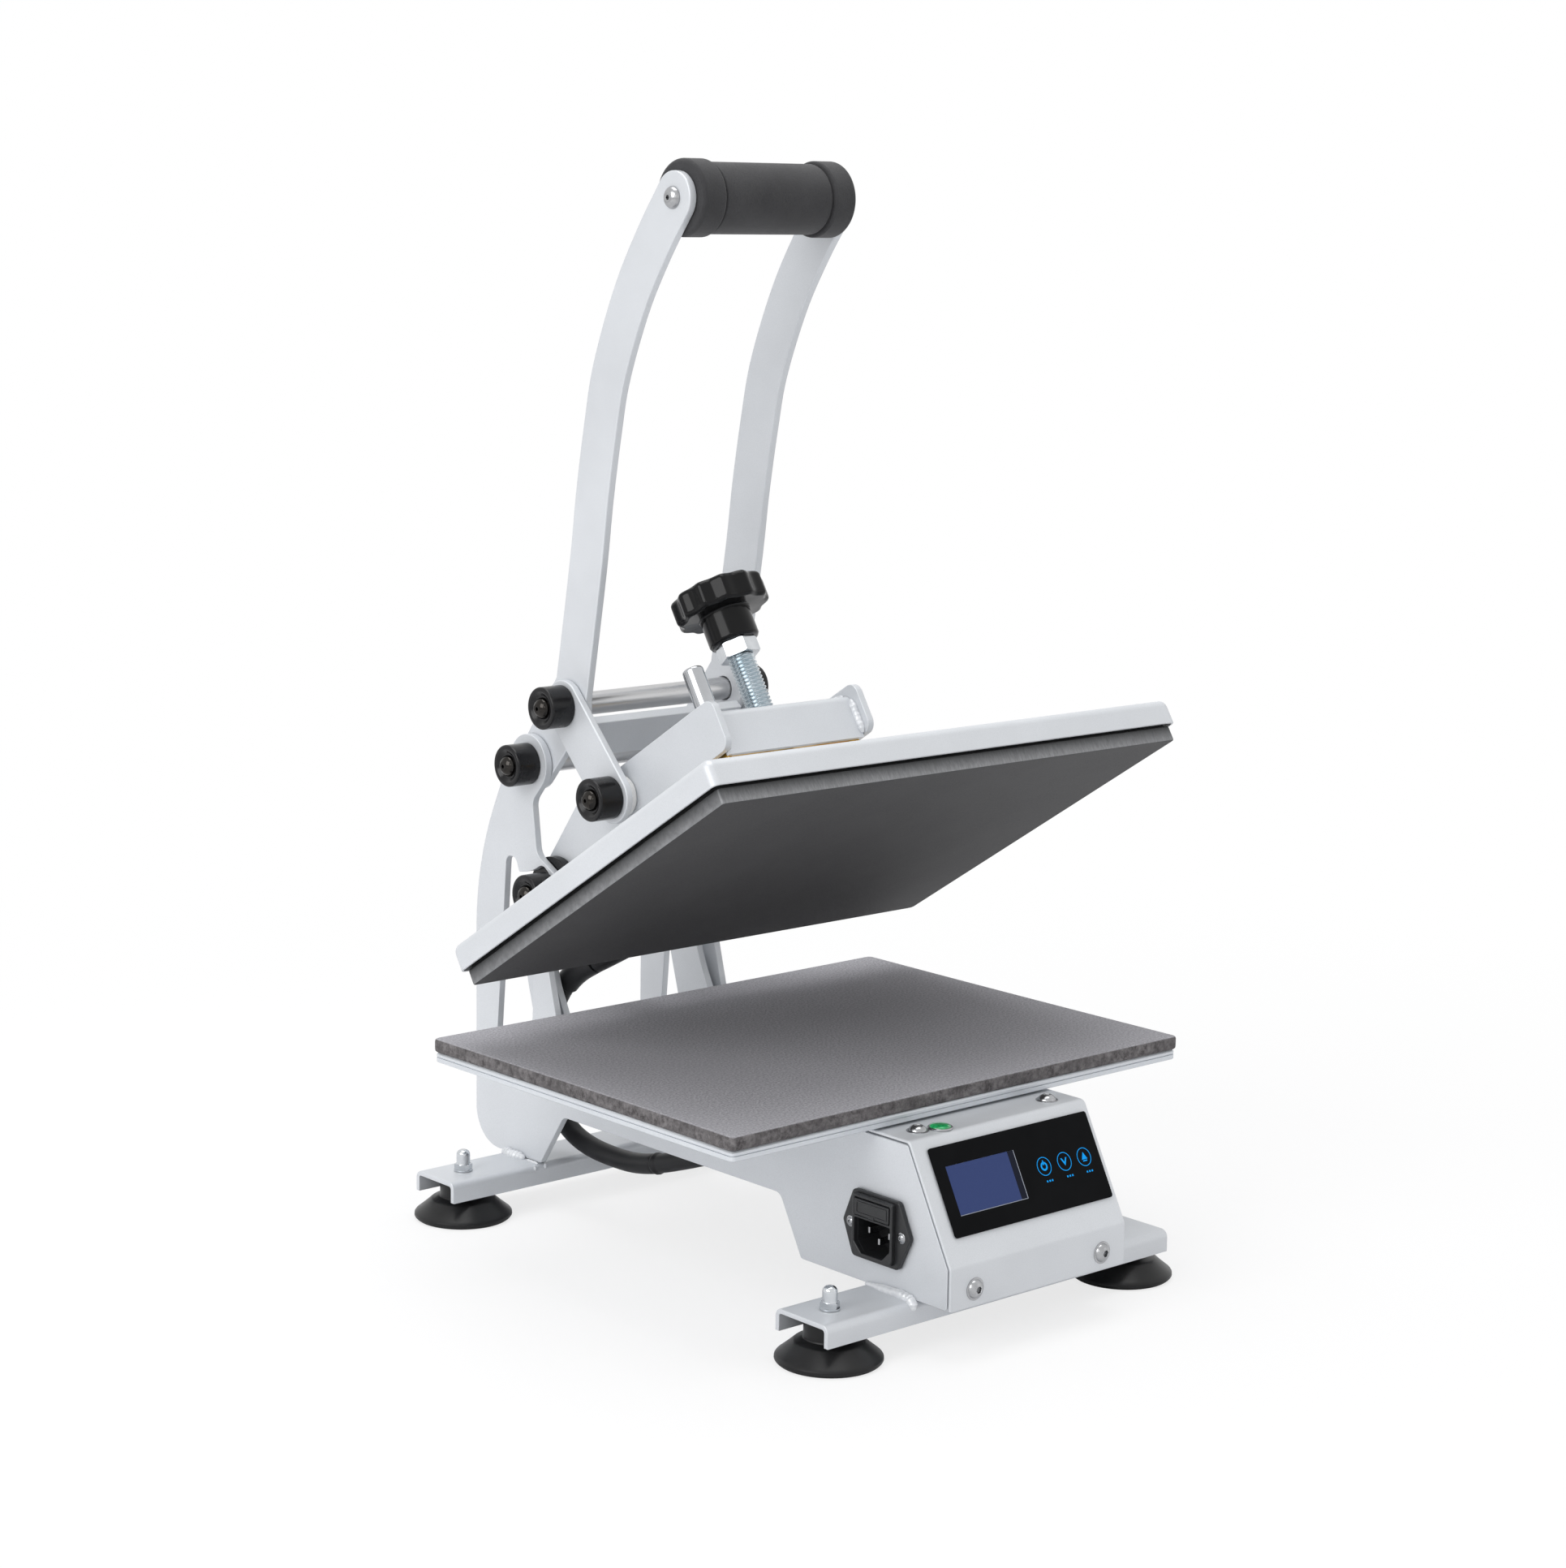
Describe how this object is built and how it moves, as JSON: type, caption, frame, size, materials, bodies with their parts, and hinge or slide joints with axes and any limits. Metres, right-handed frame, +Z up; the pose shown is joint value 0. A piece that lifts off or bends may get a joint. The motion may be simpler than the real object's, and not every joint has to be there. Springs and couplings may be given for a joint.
{
  "type": "flat heat press",
  "caption": "Clamshell flat heat press with a hinged heated platen, upright toggle lever, pressure knob, rubber pad on an aluminium table, sloping control box and suction feet.",
  "frame": {"origin": "on the bench, under the middle of the whole object's box", "axes": "+X to the right as seen from the control panel, +Y to the back, +Z up"},
  "size_m": [0.3066, 0.367, 0.5499],
  "materials": {
    "powder_coat": "satin silver grey powder coat with a fine orange peel",
    "table_aluminium": "brushed aluminium plate",
    "cast_platen": "cast aluminium, dark grey coated face with milled edges",
    "silicone_pad": "matt silicone foam, finely mottled",
    "foot_rubber": "satin black rubber",
    "cable_rubber": "matt black rubber sheath",
    "black_plastic": "fine grained black plastic",
    "gloss_plastic": "glossy black plastic",
    "cap_black": "satin black caps",
    "white_nylon": "white nylon rings",
    "grip_foam": "charcoal closed cell foam",
    "shaft_steel": "ground steel",
    "zinc_plate": "bluish bright zinc plating",
    "yellow_zinc": "yellow chromated zinc plating",
    "post_chrome": "polished chrome",
    "screen_glass": "blue liquid crystal window",
    "panel_black": "glossy black film",
    "green_lens": "translucent green lens",
    "circuit_board": "green circuit board",
    "mineral_wool": "pressed mineral wool"
  },
  "bodies": {
    "base": {"side_sheet_left": "powder_coat", "side_sheet_right": "powder_coat", "upright_brace_left": "powder_coat", "upright_brace_right": "powder_coat", "front_leg": "powder_coat", "rear_leg": "powder_coat", "suction_foot_front_left": "foot_rubber", "suction_foot_front_right": "foot_rubber", "suction_foot_rear_left": "foot_rubber", "suction_foot_rear_right": "foot_rubber", "foot_stud_front_left": "zinc_plate", "foot_stud_front_right": "zinc_plate", "foot_stud_rear_left": "zinc_plate", "foot_stud_rear_right": "zinc_plate", "front_cross_rail": "powder_coat", "rear_cross_rail": "powder_coat", "table_plate": "table_aluminium", "rubber_pad": "silicone_pad", "display_panel": "panel_black", "display_screen": "screen_glass", "control_board": "circuit_board", "control_box_cover": "powder_coat", "pilot_lens": "green_lens", "control_box_tray": "powder_coat", "box_cable_gland": "black_plastic", "heater_relay": "black_plastic", "mains_inlet": "black_plastic", "lever_shaft": "shaft_steel", "arm_shaft": "shaft_steel", "heater_cable": "cable_rubber"},
    "fuse_drawer": {"fuse_drawer": "black_plastic"},
    "lever": {"lever_left": "powder_coat", "lever_right": "powder_coat", "lever_cross_plate": "powder_coat", "crank_shaft": "shaft_steel", "grip_rod": "shaft_steel", "foam_grip": "grip_foam", "grip_screw_left": "zinc_plate", "grip_screw_right": "zinc_plate"},
    "link": {"link_left": "powder_coat", "link_right": "powder_coat", "link_pin_left": "shaft_steel", "link_pin_right": "shaft_steel"},
    "platen_arm": {"arm_plate_left": "powder_coat", "arm_plate_right": "powder_coat", "arm_front_channel": "powder_coat", "threaded_bush": "zinc_plate", "arm_rear_tie": "powder_coat"},
    "platen": {"platen_cover": "powder_coat", "heat_platen": "cast_platen", "heating_element": "shaft_steel", "insulation_block": "mineral_wool", "screw_bracket": "yellow_zinc", "guide_post": "post_chrome", "cable_grommet": "cable_rubber", "cable_tail": "cable_rubber"},
    "pressure_screw": {"pressure_screw": "zinc_plate", "screw_lock_nut": "zinc_plate", "pressure_knob": "gloss_plastic"}
  },
  "joints": [
    {"name": "lever_swing", "type": "hinge", "parent": "base", "child": "lever", "pos_m": [0, 0.1381, 0.2388], "axis": [1, 0, 0], "range_deg": [0, 75.97]},
    {"name": "link_turn", "type": "hinge", "parent": "lever", "child": "link", "pos_m": [0, 0.1093, 0.27259], "axis": [1, 0, 0], "range_deg": [-95.95, 0]},
    {"name": "arm_close", "type": "hinge", "parent": "base", "child": "platen_arm", "pos_m": [0, 0.1225, 0.1725], "axis": [1, 0, 0], "range_deg": [0, 32.3], "deforming": ["heater_cable"]},
    {"name": "platen_slide", "type": "slide", "parent": "platen_arm", "child": "platen", "axis": [0, -0.5344, -0.8453], "range_m": [-0.0008, 0.0048]},
    {"name": "pressure_turn", "type": "hinge", "parent": "platen", "child": "pressure_screw", "pos_m": [0, -0.02449, 0.20272], "axis": [0, -0.5344, -0.8453], "range_deg": [-144, 864]},
    {"name": "fuse_drawer_slide", "type": "slide", "parent": "base", "child": "fuse_drawer", "axis": [-1, 0, 0], "range_m": [0, 0.012]}
  ],
  "couplings": [
    {"joint": "arm_close", "follows": "lever_swing", "ratio": 0.42513},
    {"joint": "link_turn", "follows": "lever_swing", "ratio": -1.2628},
    {"joint": "pressure_turn", "follows": "platen_slide", "rad_per_m": 3141.6}
  ]
}
